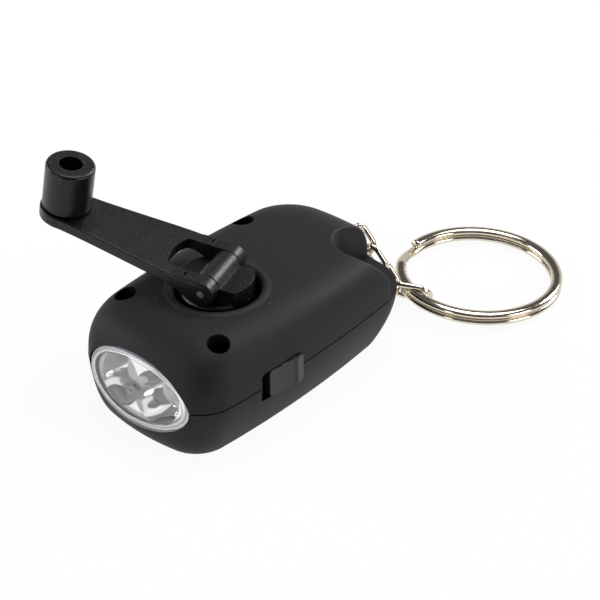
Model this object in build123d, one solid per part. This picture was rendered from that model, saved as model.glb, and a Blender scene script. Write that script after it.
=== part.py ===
from build123d import *
import os
from math import acos, atan2, cos, degrees, hypot, pi, radians, sin, sqrt, tan

# Keychain dynamo torch with a fold-out crank, in millimetres.
# Frame: the lens faces -Y, the switch side is +X, +Z is up, the flat base lies on
# z = 0 and the crank axis is the Z axis. The crank arm stands unfolded.

# ---- driving dimensions: housing ----
SEAM_Z = 10.5            # height of the joint between the two shells
TOP_Z = 20.3             # crown of the upper shell
WALL = 1.4
HALF_FRONT = 14.8        # half widths of the outline at the joint
HALF_MID = 15.9
HALF_REAR = 14.2
FRONT_Y = -20.4
REAR_Y = 34.7
FRONT_CORNER_Y = -18.3
MID_Y = 9.0
REAR_CORNER_Y = 33.0
FRONT_CORNER_R = 7.0
REAR_CORNER_R = 9.6
SHOULDER_SIDE = 7.8      # how far the crown lies inside the outline
SHOULDER_FRONT = 11.0
SHOULDER_REAR = 12.3
BASE_SIDE_IN = 3.4       # how far the base lies inside the outline
BASE_FRONT_IN = 2.3
BASE_REAR_IN = 3.2
BASE_EDGE_R = 0.7
SEAM_GAP_H = 0.25         # shadow groove along the joint
SEAM_GAP_DEPTH = 0.3
FIT = 0.1                # gap between pieces that sit in each other

# ---- driving dimensions: lens, reflector and LEDs ----
LENS_HALF_W = 11.3
LENS_HALF_H = 6.2
LENS_Z = 10.5
LENS_TILT = 10.8         # degrees that the lens leans back at its top
LENS_BULGE_R = 45.0
LENS_T = 1.4
LENS_RIM_T = 1.1         # thickness of the clear side wall
LENS_DEPTH = 5.2
LENS_CREST_Y = -20.1
REFLECTOR_DEPTH = 7.0
LED_R = 2.5
LED_SPACING = 8.1
LED_LENGTH = 6.2
LED_TIP_DEPTH = 4.2
LED_BOARD_T = 1.0
LED_BOARD_HALF_H = 3.2

# ---- driving dimensions: crank ----
RECESS_R = 7.1
RECESS_RIM_R = 1.1
RECESS_FLOOR_Z = 15.2
HUB_R = 6.2
HUB_TOP_Z = 20.2
HUB_SHAFT_R = 2.5
HINGE_Z = 22.75
BARREL_R = 2.3
TONGUE_W = 7.7
PIN_R = 0.6
RUN = 0.05               # radial clearance of a running fit
CRANK_ANGLE = 198.3      # direction of the arm in plan at rest, in degrees
ARM_TILT = 10.4          # the arm rises this much towards the knob at rest
ARM_LENGTH = 28.3        # hinge axis to knob axis
ARM_T = 2.0
ARM_TOP = 1.7            # the arm's top face above the hinge axis
ARM_HALF_W = 6.35
ARM_TIP_R = 4.4
EAR_INNER = 4.05
EAR_RUN = 5.5            # where the ear has run into the blade
EAR_POCKET_X = 3.1
EAR_POCKET_W = 1.4
EAR_POCKET_DEPTH = 0.25
ARM_TAPER = [(0.0, 0.0), (0.28, 0.0), (0.44, 0.22), (0.65, 0.55), (0.85, 0.82)]   # along, inwards
WINDOW_END = 8.3
KNOB_R = 4.15
KNOB_H = 8.3
KNOB_BORE_R = 2.0
KNOB_GAP = 0.15
KNOB_POST_R = 1.35

# ---- driving dimensions: knob nest in the rear right corner ----
NEST_ANGLE = 72.5        # direction from the crank axis, in degrees
NEST_R = 5.3

# ---- driving dimensions: case screws ----
SCREW_HOLE_R = 1.9
SCREW_POST_R = 2.9
SCREW_SEAT_Z = 13.9
SCREW_HEAD_R = 1.7
SCREW_HEAD_H = 1.2
SCREW_R = 0.9
SCREW_LENGTH = 9.3
LOWER_BOSS_R = 2.6

# ---- driving dimensions: switch ----
SLOT_Y = (-6.3, 3.0)
SLOT_Z = (7.7, 13.3)
SWITCH_TRAVEL = 1.9
SLIDER_LENGTH = 7.3
SLIDER_OUT_X = HALF_MID + 0.6
SLIDER_STEPS = [(0.0, 0.9), (0.34, 0.4), (0.35, 0.75), (0.68, 0.15), (0.7, 0.6), (0.8, 0.0), (1.0, 0.2)]

# ---- driving dimensions: gear train ----
DRIVE_TEETH = 42
PINION_1_TEETH = 11
MODULE_2 = 0.4
WHEEL_TEETH = 36
PINION_TEETH = 10
BACKLASH = 0.09
PRESSURE = 20.0
IDLER_1_ANGLE = 77.0     # direction of the first idler from the crank axis
NEST_CLEARANCE = 0.89    # between the first idler's wheel and the wall of the nest
ROTOR_XY = (-3.0, 0.3)
DRIVE_Z = 12.1
DRIVE_T = 1.2
WHEEL_T = 1.1
WHEEL_1_Z = 10.35
WHEEL_2_Z = 8.75
PLATE_Z = 7.3
PLATE_T = 1.0
AXLE_R = 0.75

# ---- driving dimensions: generator ----
STATOR_R = 7.8
STATOR_T = 0.6
MAGNET_R = 4.3
AIR_GAP = 0.4
POLES = 6

# ---- driving dimensions: boards and cell ----
BOARD_Z = 3.5
BOARD_T = 1.0
CELL_R = 8.0
CELL_T = 2.5
CELL_XY = (2.6, 23.4)
POST_R = 1.25

# ---- driving dimensions: key ring and chain ----
RING_R = 15.0
RING_WIRE_W = 2.1        # radial width of the flattened wire
RING_WIRE_H = 1.0
RING_CENTRE = (13.7, 53.2)
LINK_WIRE_R = 0.5
LINK_INNER_WIDTH = 1.9
END_LINK_INNER_LENGTH = 6.4
END_LINK_INNER_WIDTH = 3.3
END_LINK_XY = (8.28, 40.3)
END_LINK_TURN = 23.0     # direction of the end link's long axis, in degrees
END_LINK_LEAN = 30.0     # degrees that its plane leans from upright
END_LINK_CONTACT = 46.0  # where the chain pulls on its bend, in degrees from the tip
CHAIN_GAP = 0.05

# ---- driving dimensions: small fits and inner details ----
THREAD_GAP = 0.02
WASHER = 0.15
NEST_EDGE_R = 0.45
NEST_FLOOR_T = 1.2
LIP_T = 0.7
LIP_H = 0.8
BOARD_POSTS = [(8.5, -4.5), (8.5, 13.5), (0.0, 26.5)]
BOARD_POST_R = 1.2
BOARD_FRONT_Y = -10.8
BEARING_BOSS_R = 2.0
BEARING_TOP_Z = 2.3
ROTOR_END_Z = 1.9
STATOR_FLOOR_Z = WALL + 0.05
STATOR_TOP_Z = 6.6
CAN_T = 0.4
CLAW_W = 1.9
BOBBIN_T = 0.35
PLATE_RING_R = 8.2
PLATE_LUG_R = 1.9
PLATE_SCREW_R = 0.5
PLATE_SCREW_HEAD_R = 1.2
PLATE_SCREW_LENGTH = 4.0
PIN_BOSS_R = 1.6
PIN_1_TOP = 15.0
WHEEL_ADDENDUM = 0.65    # tooth heights as shares of the module
WHEEL_DEDENDUM = 1.25
PINION_ADDENDUM = 1.0
PINION_DEDENDUM = 0.9
HUB_SCREW_R = 0.9
HUB_SCREW_HEAD_R = 2.9
HUB_SCREW_TOP_Z = 18.0
KNOB_SCREW_R = 0.6
KNOB_FLOOR_H = 3.3
REFLECTOR_HALF_W = LENS_HALF_W - LENS_RIM_T - FIT
REFLECTOR_HALF_H = LENS_HALF_H - LENS_RIM_T - FIT
BOWL_R = 4.6
BOWL_WAIST_R = 4.15
BOWL_FLOOR = 6.2
LED_LEAD_R = 0.25
LED_BOARD_GAP = 0.2
LED_BOARD_HALF_W = 7.4
LED_TAB_LENGTH = 3.85
CLIP_T = 0.3
SWITCH_CAN_X = (HALF_MID - 8.4, HALF_MID - 4.4)
SWITCH_CAN_Y = (-6.0, 2.5)
LEVER_HALF_W = 0.75
SLIDER_PLATE_X = (HALF_MID - 3.7, HALF_MID - 2.9)
SLIDER_PLATE_Y = (-6.2, 5.4)
SLIDER_PLATE_Z = (7.2, 13.9)
EYELET_BEND_R = 1.6
EYELET_SLANT = 34.0      # degrees that the staple is turned, so that the chain hangs square to it
RING_CORNER_R = 0.3
RING_TURN_GAP = 0.08
RING_RAMP_ANGLE = 222.0
RING_RAMP_SPAN = 60.0
RING_LIFT = 1.25         # height of the ring's underside above the floor at the end link


def superellipse_in(t, depth, power):
    """Inset of a rounded shoulder at the share t of its height."""
    return depth * (1 - (1 - min(t, 1.0) ** power) ** (1 / power))


def outline(z, side_in, front_in, rear_in, corner_scale=1.0):
    """Plan outline of the housing at height z, drawn in by the three insets."""
    half_front = HALF_FRONT - side_in
    half_rear = HALF_REAR - side_in
    front_corner_y = FRONT_CORNER_Y + 0.8 * front_in
    rear_corner_y = REAR_CORNER_Y - 0.9 * rear_in
    front_left, front_right = (-half_front, front_corner_y), (half_front, front_corner_y)
    rear_left, rear_right = (-half_rear, rear_corner_y), (half_rear, rear_corner_y)
    with BuildSketch() as sketch:
        with BuildLine():
            ThreePointArc(front_left, (0, FRONT_Y + front_in), front_right)
            ThreePointArc(front_right, (HALF_MID - side_in, MID_Y), rear_right)
            ThreePointArc(rear_right, (0, REAR_Y - rear_in), rear_left)
            ThreePointArc(rear_left, (side_in - HALF_MID, MID_Y), front_left)
        make_face()
        corners = sketch.vertices()
        shrink = half_front / HALF_FRONT * corner_scale
        fillet(corners.filter_by(lambda v: v.Y < MID_Y), FRONT_CORNER_R * shrink)
        corners = sketch.vertices().filter_by(lambda v: v.Y > MID_Y)
        far = [v for v in corners if abs(abs(v.X) - half_rear) < 0.01]
        fillet(far, REAR_CORNER_R * half_rear / HALF_REAR)
    return Pos(0, 0, z) * sketch.face()


def upper_form(inset=0.0):
    """Domed outer form of the upper shell, or its inner form at the given inset."""
    height = TOP_Z - SEAM_Z - inset
    faces = []
    for angle in (0, 20, 38, 54, 67, 79, 90):
        t = min(1.0, sin(radians(angle)) ** (2 / 3.0))
        side = superellipse_in(t, SHOULDER_SIDE, 3.0)
        front = superellipse_in(t, SHOULDER_FRONT, 2.2)
        rear = superellipse_in(t, SHOULDER_REAR, 2.6)
        faces.append(outline(SEAM_Z + height * t, side + inset, front + inset, rear + inset))
    return loft(faces)


def lower_form(inset=0.0):
    """Outer form of the lower shell, or its inner form at the given inset."""
    faces = []
    for share in (1.0, 0.8, 0.55, 0.3, 0.0):
        side = BASE_SIDE_IN * share ** 1.6
        front = BASE_FRONT_IN * share ** 5
        rear = BASE_REAR_IN * share ** 1.8
        z = SEAM_Z - (SEAM_Z - inset) * share
        faces.append(outline(z, side + inset, front + inset, rear + inset, 1 + 0.15 * share))
    return loft(faces)


def bar(radius, z0, z1, x=0.0, y=0.0):
    """Upright round bar between two heights."""
    return Pos(x, y, z0) * Cylinder(radius, z1 - z0, align=(Align.CENTER, Align.CENTER, Align.MIN))


def tube(outer, inner, z0, z1, x=0.0, y=0.0):
    """Upright tube between two heights."""
    return bar(outer, z0, z1, x, y) - bar(inner, z0 - 1, z1 + 1, x, y)


def block(x, y, z):
    """Box given by its three spans."""
    size = (x[1] - x[0], y[1] - y[0], z[1] - z[0])
    return Pos(x[0], y[0], z[0]) * Box(*size, align=(Align.MIN, Align.MIN, Align.MIN))


def polar(radius, angle, centre=(0.0, 0.0)):
    """Point at a radius and a direction in degrees."""
    return (centre[0] + radius * cos(radians(angle)), centre[1] + radius * sin(radians(angle)))


def direction(start, end):
    """Direction from one point to another, in degrees."""
    return degrees(atan2(end[1] - start[1], end[0] - start[0]))


# ---- layout worked out from the dimensions ----
NEST_XY = polar(ARM_LENGTH, NEST_ANGLE)
WHEEL_TIP_R = MODULE_2 * (WHEEL_TEETH / 2 + WHEEL_ADDENDUM)
GEAR_DISTANCE_1 = ARM_LENGTH - NEST_R - WALL - NEST_CLEARANCE - WHEEL_TIP_R
MODULE_1 = 2 * GEAR_DISTANCE_1 / (DRIVE_TEETH + PINION_1_TEETH)
DRIVE_TIP_R = MODULE_1 * (DRIVE_TEETH / 2 + WHEEL_ADDENDUM)
GEAR_DISTANCE_2 = MODULE_2 * (WHEEL_TEETH + PINION_TEETH) / 2
IDLER_1_XY = polar(GEAR_DISTANCE_1, IDLER_1_ANGLE)
PLATE_POSTS = [(4.2 - HALF_MID, -5.5), (HALF_MID - 3.9, 8.2), (-5.5, 18.3)]
FRONT_SCREW = polar(DRIVE_TIP_R + SCREW_POST_R + 1.4, -45.5)
CASE_SCREWS = [(-FRONT_SCREW[0], FRONT_SCREW[1]), FRONT_SCREW, (4.6 - HALF_MID, 18.0)]
EYELET = (NEST_XY[0] - NEST_R - WALL - 2.6, REAR_Y + 2.0, SEAM_Z + 2.5)
EYELET_FOOT_Y = REAR_Y - 3.3
SPAN = hypot(IDLER_1_XY[0] - ROTOR_XY[0], IDLER_1_XY[1] - ROTOR_XY[1])
IDLER_2_TURN = degrees(acos(SPAN / 2 / GEAR_DISTANCE_2))
IDLER_2_XY = polar(GEAR_DISTANCE_2, direction(ROTOR_XY, IDLER_1_XY) + IDLER_2_TURN, ROTOR_XY)


def unit(angle, rise=0.0):
    """Unit vector from a direction in plan and a rise, in degrees."""
    flat = cos(radians(rise))
    return Vector(flat * cos(radians(angle)), flat * sin(radians(angle)), sin(radians(rise)))


LENS_PLACE = Plane(origin=(0, LENS_CREST_Y, LENS_Z), x_dir=(1, 0, 0),
                   z_dir=-unit(-90, LENS_TILT)).location
HINGE_AXIS = unit(CRANK_ANGLE - 90)
ARM_AXIS = unit(CRANK_ANGLE, ARM_TILT)
ARM_PLACE = Plane(origin=(0, 0, HINGE_Z), x_dir=ARM_AXIS, z_dir=HINGE_AXIS.cross(ARM_AXIS)).location
CRANK_TURN = Rot(0, 0, CRANK_ANGLE)

# the end link stands on the floor, leans, and its bend carries the chain
END_AXIS = unit(END_LINK_TURN)
END_UP = unit(END_LINK_TURN - 90) * sin(radians(END_LINK_LEAN)) + Vector(0, 0, cos(radians(END_LINK_LEAN)))
END_HALF_W = END_LINK_INNER_WIDTH / 2 + 2 * LINK_WIRE_R
END_CENTRE = Vector(*END_LINK_XY, END_HALF_W * cos(radians(END_LINK_LEAN)) + FIT / 2)
END_STRAIGHT = (END_LINK_INNER_LENGTH - END_LINK_INNER_WIDTH) / 2
CONTACT = radians(END_LINK_CONTACT)
PULL_R = END_LINK_INNER_WIDTH / 2 + LINK_WIRE_R
PULL_POINT = (END_CENTRE - END_AXIS * (END_STRAIGHT + PULL_R * cos(CONTACT))
              + END_UP * PULL_R * sin(CONTACT))
PULL_WIRE = END_UP * cos(CONTACT) + END_AXIS * sin(CONTACT)
CHAIN_SPAN = PULL_POINT - Vector(*EYELET)
CHAIN_AXIS = CHAIN_SPAN.normalized()
LINK_INNER_LENGTH = (CHAIN_SPAN.length + 2 * LINK_WIRE_R + 4 * CHAIN_GAP) / 3
EYELET_WIRE = unit(0, EYELET_SLANT)
FIRST_NORMAL = (EYELET_WIRE - CHAIN_AXIS * EYELET_WIRE.dot(CHAIN_AXIS)).normalized()
LAST_NORMAL = (PULL_WIRE - CHAIN_AXIS * PULL_WIRE.dot(CHAIN_AXIS)).normalized()
MIDDLE_NORMAL = CHAIN_AXIS.cross((FIRST_NORMAL + LAST_NORMAL).normalized())

# the split ring rests on the floor at its far side and on the end link at its near side
RING_MID_R = RING_R - RING_WIRE_W / 2
RING_NEAR = direction(RING_CENTRE, END_LINK_XY)
RING_SLOPE = degrees(atan2(RING_LIFT, RING_R + RING_MID_R))
RING_NORMAL = unit(RING_NEAR + 180, 90 - RING_SLOPE)
RING_PLACE = Plane(origin=(*RING_CENTRE, RING_R * sin(radians(RING_SLOPE)) + RING_WIRE_H),
                   x_dir=unit(RING_NEAR - 90), z_dir=RING_NORMAL).location


def nest_space(grow, z0, z1):
    """Room for the folded knob, open to the rear right corner."""
    x, y = NEST_XY
    corner = block((x - NEST_R - grow, HALF_MID + 5), (y, REAR_Y + 5), (z0, z1))
    return bar(NEST_R + grow, z0, z1, x, y) + corner


def lens_opening(grow):
    """Oval prism round the lens axis, through the front wall."""
    oval = extrude(Ellipse(LENS_HALF_W + grow, LENS_HALF_H + grow), 9)
    return LENS_PLACE * (Pos(0, 0, -3) * oval)


def slot_space():
    """Window for the switch slider in the right wall."""
    window = block((HALF_MID - 4, HALF_MID + 2), SLOT_Y, SLOT_Z)
    return fillet(window.edges().filter_by(Axis.X), 0.8)


def recess_cut():
    """Round well for the crank hub with a rounded rim."""
    with BuildSketch(Plane.XZ) as sketch:
        with BuildLine():
            top = TOP_Z + 1
            flare = RECESS_R + RECESS_RIM_R
            Polyline((RECESS_R, TOP_Z - RECESS_RIM_R), (RECESS_R, RECESS_FLOOR_Z), (0, RECESS_FLOOR_Z),
                     (0, top), (flare, top), (flare, TOP_Z))
            RadiusArc((flare, TOP_Z), (RECESS_R, TOP_Z - RECESS_RIM_R), -RECESS_RIM_R)
        make_face()
    return revolve(sketch.sketch, Axis.Z)


def seam_groove():
    """Shallow groove round the foot of the upper shell, which shows as a dark line."""
    wide = extrude(outline(SEAM_Z, -1, -1, -1), SEAM_GAP_H, dir=(0, 0, 1))
    deep = SEAM_GAP_DEPTH
    return wide - extrude(outline(SEAM_Z, deep, deep, deep), SEAM_GAP_H, dir=(0, 0, 1))


def upper_shell():
    """Domed top moulding with the nest, the crank well, the lens opening and screw posts."""
    shell = upper_form() - nest_space(0, SEAM_Z - 1, TOP_Z + 1)
    rim = shell.edges().filter_by(lambda e: is_nest_rim(e))
    shell = fillet(rim, NEST_EDGE_R)
    shell -= recess_cut() + seam_groove()
    cavity = upper_form(WALL) - nest_space(WALL, SEAM_Z - 1, TOP_Z)
    cavity -= bar(RECESS_R + WALL, RECESS_FLOOR_Z - WALL, TOP_Z)
    for x, y in CASE_SCREWS:
        cavity -= bar(SCREW_POST_R, SEAM_Z - 1, TOP_Z, x, y)
    for x, y in PLATE_POSTS:
        cavity -= bar(POST_R, SEAM_Z - 1, TOP_Z, x, y)
    cavity -= bar(PIN_BOSS_R, DRIVE_Z + DRIVE_T + 2 * WASHER, TOP_Z, *IDLER_1_XY)
    shell -= cavity
    shell -= lens_opening(FIT)
    shell -= slot_space()
    shell -= bar(HUB_SHAFT_R + RUN, SEAM_Z, TOP_Z)
    shell -= bar(AXLE_R, SEAM_Z, PIN_1_TOP, *IDLER_1_XY)
    for x, y in CASE_SCREWS:
        shell -= bar(SCREW_HOLE_R, SCREW_SEAT_Z, TOP_Z + 1, x, y)
        shell -= bar(SCREW_R + FIT, SEAM_Z - 1, SCREW_SEAT_Z + 1, x, y)
    for x, y in PLATE_POSTS:
        shell += bar(POST_R, PLATE_Z + PLATE_T, SEAM_Z + 1, x, y)
        shell -= bar(PLATE_SCREW_R, PLATE_Z, PLATE_Z + PLATE_SCREW_LENGTH, x, y)
    return shell - eyelet_rods(EYELET_FOOT_Y + 0.6, REAR_Y + 1, LINK_WIRE_R + FIT / 2)


def is_nest_rim(edge):
    """True for the upper edges where the nest breaks the dome."""
    box = edge.bounding_box()
    x, y = NEST_XY
    inside = box.min.X > x - NEST_R - 0.5 and box.min.Y > y - NEST_R - 0.5
    return inside and box.max.Z > SEAM_Z + 2 and box.size.Y > 0.5


def lower_shell():
    """Tub with screw bosses, board posts, rotor bearing and the floor of the nest."""
    shell = lower_form()
    shell = fillet(shell.faces().sort_by(Axis.Z)[0].edges(), BASE_EDGE_R)
    cavity = lower_form(WALL)
    cavity -= nest_space(WALL, SEAM_Z - NEST_FLOOR_T, SEAM_Z + 1)
    for x, y in CASE_SCREWS:
        cavity -= bar(LOWER_BOSS_R, 0, SEAM_Z + 1, x, y)
    for x, y in BOARD_POSTS:
        cavity -= bar(BOARD_POST_R, 0, BOARD_Z, x, y)
    cavity -= bar(BEARING_BOSS_R, 0, BEARING_TOP_Z, *ROTOR_XY)
    shell -= cavity
    shell -= bar(AXLE_R + RUN, ROTOR_END_Z - 2 * RUN, BEARING_TOP_Z + 1, *ROTOR_XY)
    for x, y in CASE_SCREWS:
        shell -= bar(SCREW_R + THREAD_GAP, SCREW_SEAT_Z - SCREW_LENGTH - 0.5, SEAM_Z + 1, x, y)
    shell -= lens_opening(FIT)
    shell -= slot_space()
    return shell + seam_lip()


def seam_lip():
    """Thin rib inside the joint that lines up the two shells."""
    low = outline(SEAM_Z - LIP_H, WALL - LIP_T / 2, WALL - LIP_T / 2, WALL - LIP_T / 2)
    inner = outline(SEAM_Z - LIP_H, WALL + LIP_T, WALL + LIP_T, WALL + LIP_T)
    upper = outline(SEAM_Z, WALL + FIT, WALL + FIT, WALL + FIT)
    lip = extrude(low, LIP_H, dir=(0, 0, 1)) + extrude(upper, LIP_H, dir=(0, 0, 1))
    lip -= extrude(inner, 2 * LIP_H, dir=(0, 0, 1))
    for x, y in CASE_SCREWS:
        lip -= bar(SCREW_POST_R + FIT, 0, TOP_Z, x, y)
    lip -= nest_space(WALL + FIT, 0, TOP_Z)
    lip -= block((HALF_MID - 5, HALF_MID + 2), (SLIDER_PLATE_Y[0] - 3, SLIDER_PLATE_Y[1] + 1), (0, TOP_Z))
    lip -= block((-HALF_MID, HALF_MID), (FRONT_Y - 1, CASE_SCREWS[0][1] + 1), (0, TOP_Z))
    lip -= bar(POST_R + 2 * FIT, 0, TOP_Z, *PLATE_POSTS[0])
    return lip - bar(POST_R + 2 * FIT, 0, TOP_Z, *PLATE_POSTS[1])


def case_screws():
    """Pan head screws that hold the shells together."""
    screws = []
    for x, y in CASE_SCREWS:
        head = bar(SCREW_HEAD_R, SCREW_SEAT_Z, SCREW_SEAT_Z + SCREW_HEAD_H, x, y)
        head = fillet(head.faces().sort_by(Axis.Z)[-1].edges(), 0.4)
        head += bar(SCREW_R, SCREW_SEAT_Z - SCREW_LENGTH, SCREW_SEAT_Z, x, y)
        screws.append(head - cross_recess(SCREW_HEAD_R, SCREW_SEAT_Z + SCREW_HEAD_H, x, y))
    return Compound(children=screws)


def cross_recess(head_r, top, x=0.0, y=0.0):
    """Cross shaped driver recess under the top of a screw head."""
    long, wide, deep = 1.2 * head_r, 0.28 * head_r, 0.6
    cross = Box(long, wide, deep) + Box(wide, long, deep)
    return Pos(x, y, top - deep / 2) * Rot(0, 0, 30) * cross


def lens():
    """Clear oval cup with a domed front, whose side wall stands a little proud of the case."""
    cup = extrude(Ellipse(LENS_HALF_W, LENS_HALF_H), LENS_DEPTH)
    cup &= Pos(0, 0, LENS_BULGE_R) * Sphere(LENS_BULGE_R)
    room = extrude(Ellipse(LENS_HALF_W - LENS_RIM_T, LENS_HALF_H - LENS_RIM_T), LENS_DEPTH + 1)
    room &= Pos(0, 0, LENS_BULGE_R) * Sphere(LENS_BULGE_R - LENS_T)
    return LENS_PLACE * (cup - room)


def reflector():
    """Oval body with two bright bowls that meet in the middle."""
    front = Pos(0, 0, LENS_T) * Ellipse(REFLECTOR_HALF_W, REFLECTOR_HALF_H).face()
    back = Pos(0, 0, REFLECTOR_DEPTH) * Ellipse(REFLECTOR_HALF_W * 0.78, REFLECTOR_HALF_H * 0.84).face()
    body = loft([front, back])
    body &= Pos(0, 0, LENS_BULGE_R) * Sphere(LENS_BULGE_R - LENS_T - FIT)
    with BuildSketch(Plane.XZ) as bowl:
        with BuildLine():
            waist = (BOWL_WAIST_R, (BOWL_FLOOR + LENS_T) / 2)
            ThreePointArc((LED_R + FIT, BOWL_FLOOR), waist, (BOWL_R, LENS_T))
            Polyline((BOWL_R, LENS_T), (BOWL_R, -1), (0, -1), (0, REFLECTOR_DEPTH + 1),
                     (LED_R + FIT, REFLECTOR_DEPTH + 1), (LED_R + FIT, BOWL_FLOOR))
        make_face()
    cut = revolve(bowl.sketch, Axis.Z)
    for side in (-1, 1):
        body -= Pos(side * LED_SPACING / 2, 0, 0) * cut
    return LENS_PLACE * body


def led(side):
    """Round LED with a domed front, a rim at its foot and two wires."""
    end = LED_TIP_DEPTH + LED_LENGTH
    lamp = bar(LED_R, LED_TIP_DEPTH + LED_R, end) + Pos(0, 0, LED_TIP_DEPTH + LED_R) * Sphere(LED_R)
    lamp += bar(LED_R + 0.4, end - 1, end)
    for x in (-1.27, 1.27):
        lamp += bar(LED_LEAD_R, end - 0.5, end + LED_BOARD_GAP + LED_BOARD_T + 0.5, x)
    return LENS_PLACE * (Pos(side * LED_SPACING / 2, 0, 0) * lamp)


def led_board():
    """Small board behind the reflector with a tab down to the main board."""
    z0 = LED_TIP_DEPTH + LED_LENGTH + LED_BOARD_GAP
    span = (z0, z0 + LED_BOARD_T)
    board = block((-LED_BOARD_HALF_W, LED_BOARD_HALF_W), (-LED_BOARD_HALF_H, LED_BOARD_HALF_H), span)
    board = fillet(board.edges().filter_by(Axis.Z), 0.8)
    board += block((LED_BOARD_HALF_W - 2.2, LED_BOARD_HALF_W - 0.2), (0, LED_TAB_LENGTH), span)
    for side in (-1, 1):
        for x in (-1.27, 1.27):
            board -= bar(LED_LEAD_R + FIT, z0 - 1, z0 + 2, side * LED_SPACING / 2 + x)
    return LENS_PLACE * board


def main_board():
    """Circuit board that follows the inner wall beside the generator and behind it."""
    right, rear = HALF_MID, REAR_Y
    left = ROTOR_XY[0] + STATOR_R + 0.6
    top = BOARD_Z + BOARD_T
    board = block((left, right), (BOARD_FRONT_Y, rear), (BOARD_Z, top))
    board += block((-6, left + 1), (12.5, rear), (BOARD_Z, top))
    board &= lower_form(WALL + 3 * FIT)
    x, y = CASE_SCREWS[1]
    return board - bar(LOWER_BOSS_R + 3 * FIT, 0, SEAM_Z, x, y)


def rectifier_diodes():
    """Four small diodes in a row on the main board."""
    top = BOARD_Z + BOARD_T
    parts = []
    for i in range(4):
        diode = Pos(7.6, 6.5 + 1.7 * i, top + 0.6) * Rot(0, 90, 0) * Cylinder(0.6, 2.8)
        parts.append(diode)
    return Compound(children=parts)


def button_cell():
    """Rechargeable button cell with a stepped rim."""
    z0 = BOARD_Z + BOARD_T
    cell = bar(CELL_R, z0, z0 + CELL_T - 0.4, *CELL_XY)
    cell = fillet(cell.edges().sort_by(Axis.Z)[0], 0.3)
    return cell + bar(CELL_R - 0.9, z0, z0 + CELL_T, *CELL_XY)


def cell_clip():
    """Sprung strap from the main board over the cell."""
    z0 = BOARD_Z + BOARD_T
    z1 = z0 + CELL_T + CLIP_T
    x0 = CELL_XY[0] + CELL_R + 0.3
    y = (CELL_XY[1] - 1.2, CELL_XY[1] + 1.2)
    clip = block((x0, x0 + CLIP_T), y, (z0, z1))
    return clip + block((CELL_XY[0] - 1, x0 + CLIP_T), y, (z1 - CLIP_T, z1))


def switch_can():
    """Metal can of the slide switch, slotted for its lever."""
    z0 = BOARD_Z + BOARD_T
    can = block(SWITCH_CAN_X, SWITCH_CAN_Y, (z0, z0 + 2.7))
    low = -LEVER_HALF_W - SWITCH_TRAVEL - 2 * FIT
    slot = block((SWITCH_CAN_X[1] - 1, SWITCH_CAN_X[1] + 1), (low, LEVER_HALF_W + 2 * FIT), (z0 + 0.7, z0 + 2.1))
    return can - slot


def switch_lever():
    """Lever of the slide switch."""
    return block((SWITCH_CAN_X[1] - 0.8, SLIDER_PLATE_X[0] + 0.4), (-LEVER_HALF_W, LEVER_HALF_W),
                 (BOARD_Z + BOARD_T + 0.8, BOARD_Z + BOARD_T + 2.0))


def switch_slider():
    """Thumb button with two sawtooth ridges, a plate behind the wall and a fork on the lever."""
    z = (SLOT_Z[0] + 2 * FIT, SLOT_Z[1] - 2 * FIT)
    y = (SLOT_Y[1] - FIT - SLIDER_LENGTH, SLOT_Y[1] - FIT)
    button = block((SLIDER_PLATE_X[0], SLIDER_OUT_X), y, z)
    button = fillet(button.edges().filter_by(Axis.X), 0.7)
    steps = [(SLIDER_OUT_X - deep, y[0] + SLIDER_LENGTH * far) for far, deep in SLIDER_STEPS]
    profile = make_face(Polyline((SLIDER_PLATE_X[0], y[0]), *steps, (SLIDER_PLATE_X[0], y[1]), close=True))
    button &= extrude(profile, TOP_Z, dir=(0, 0, 1))
    plate = block(SLIDER_PLATE_X, SLIDER_PLATE_Y, SLIDER_PLATE_Z)
    fork = block((SLIDER_PLATE_X[0], SLIDER_PLATE_X[0] + 0.4), (-1.7, 1.7),
                 (BOARD_Z + BOARD_T + 1.0, SLIDER_PLATE_Z[0] + 0.5))
    reach = LEVER_HALF_W + FIT / 2
    fork -= block((0, HALF_MID), (-reach, reach), (0, SLIDER_PLATE_Z[0] - 0.2))
    return button + plate + fork


def crank_hub():
    """Turning hub with a tongue and a hinge barrel above, and a keyed shaft below."""
    hub = bar(HUB_R, RECESS_FLOOR_Z + 0.3, HUB_TOP_Z)
    hub = chamfer(hub.edges().sort_by(Axis.Z)[-1], 0.3)
    tongue = bar(HUB_R, HUB_TOP_Z - 1, HINGE_Z)
    slab = CRANK_TURN * Box(4 * HUB_R, TONGUE_W, 4 * TOP_Z)
    hub += tongue & slab
    hub += ARM_PLACE * (Rot(90, 0, 0) * Cylinder(BARREL_R, TONGUE_W))
    hub -= ARM_PLACE * (Rot(90, 0, 0) * Cylinder(PIN_R, 2 * TONGUE_W))
    hub += keyed_shaft(0)
    hub += bar(HUB_SHAFT_R, DRIVE_Z + DRIVE_T, RECESS_FLOOR_Z + 1)
    return hub - bar(HUB_SCREW_R, 0, HUB_SCREW_TOP_Z)


def keyed_shaft(grow):
    """Lower end of the hub shaft, with a flat that drives the gear."""
    shaft = bar(HUB_SHAFT_R + grow, DRIVE_Z, DRIVE_Z + DRIVE_T)
    reach = HUB_SHAFT_R * 0.8 + grow
    return shaft - block((reach, reach + 5), (-5, 5), (0, TOP_Z))


def hub_screw():
    """Flat head screw that keeps the drive gear on the hub."""
    head = bar(HUB_SCREW_HEAD_R, DRIVE_Z - 1.0, DRIVE_Z)
    screw = head + bar(HUB_SCREW_R, DRIVE_Z - 0.5, HUB_SCREW_TOP_Z - 0.5)
    slot = Pos(0, 0, DRIVE_Z - 1.0) * Box(1.4 * HUB_SCREW_HEAD_R, 0.6, 0.8)
    return screw - slot


def hinge_pin():
    """Steel pin through the ears and the barrel."""
    return ARM_PLACE * (Rot(90, 0, 0) * Cylinder(PIN_R, 2 * ARM_HALF_W))


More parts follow.
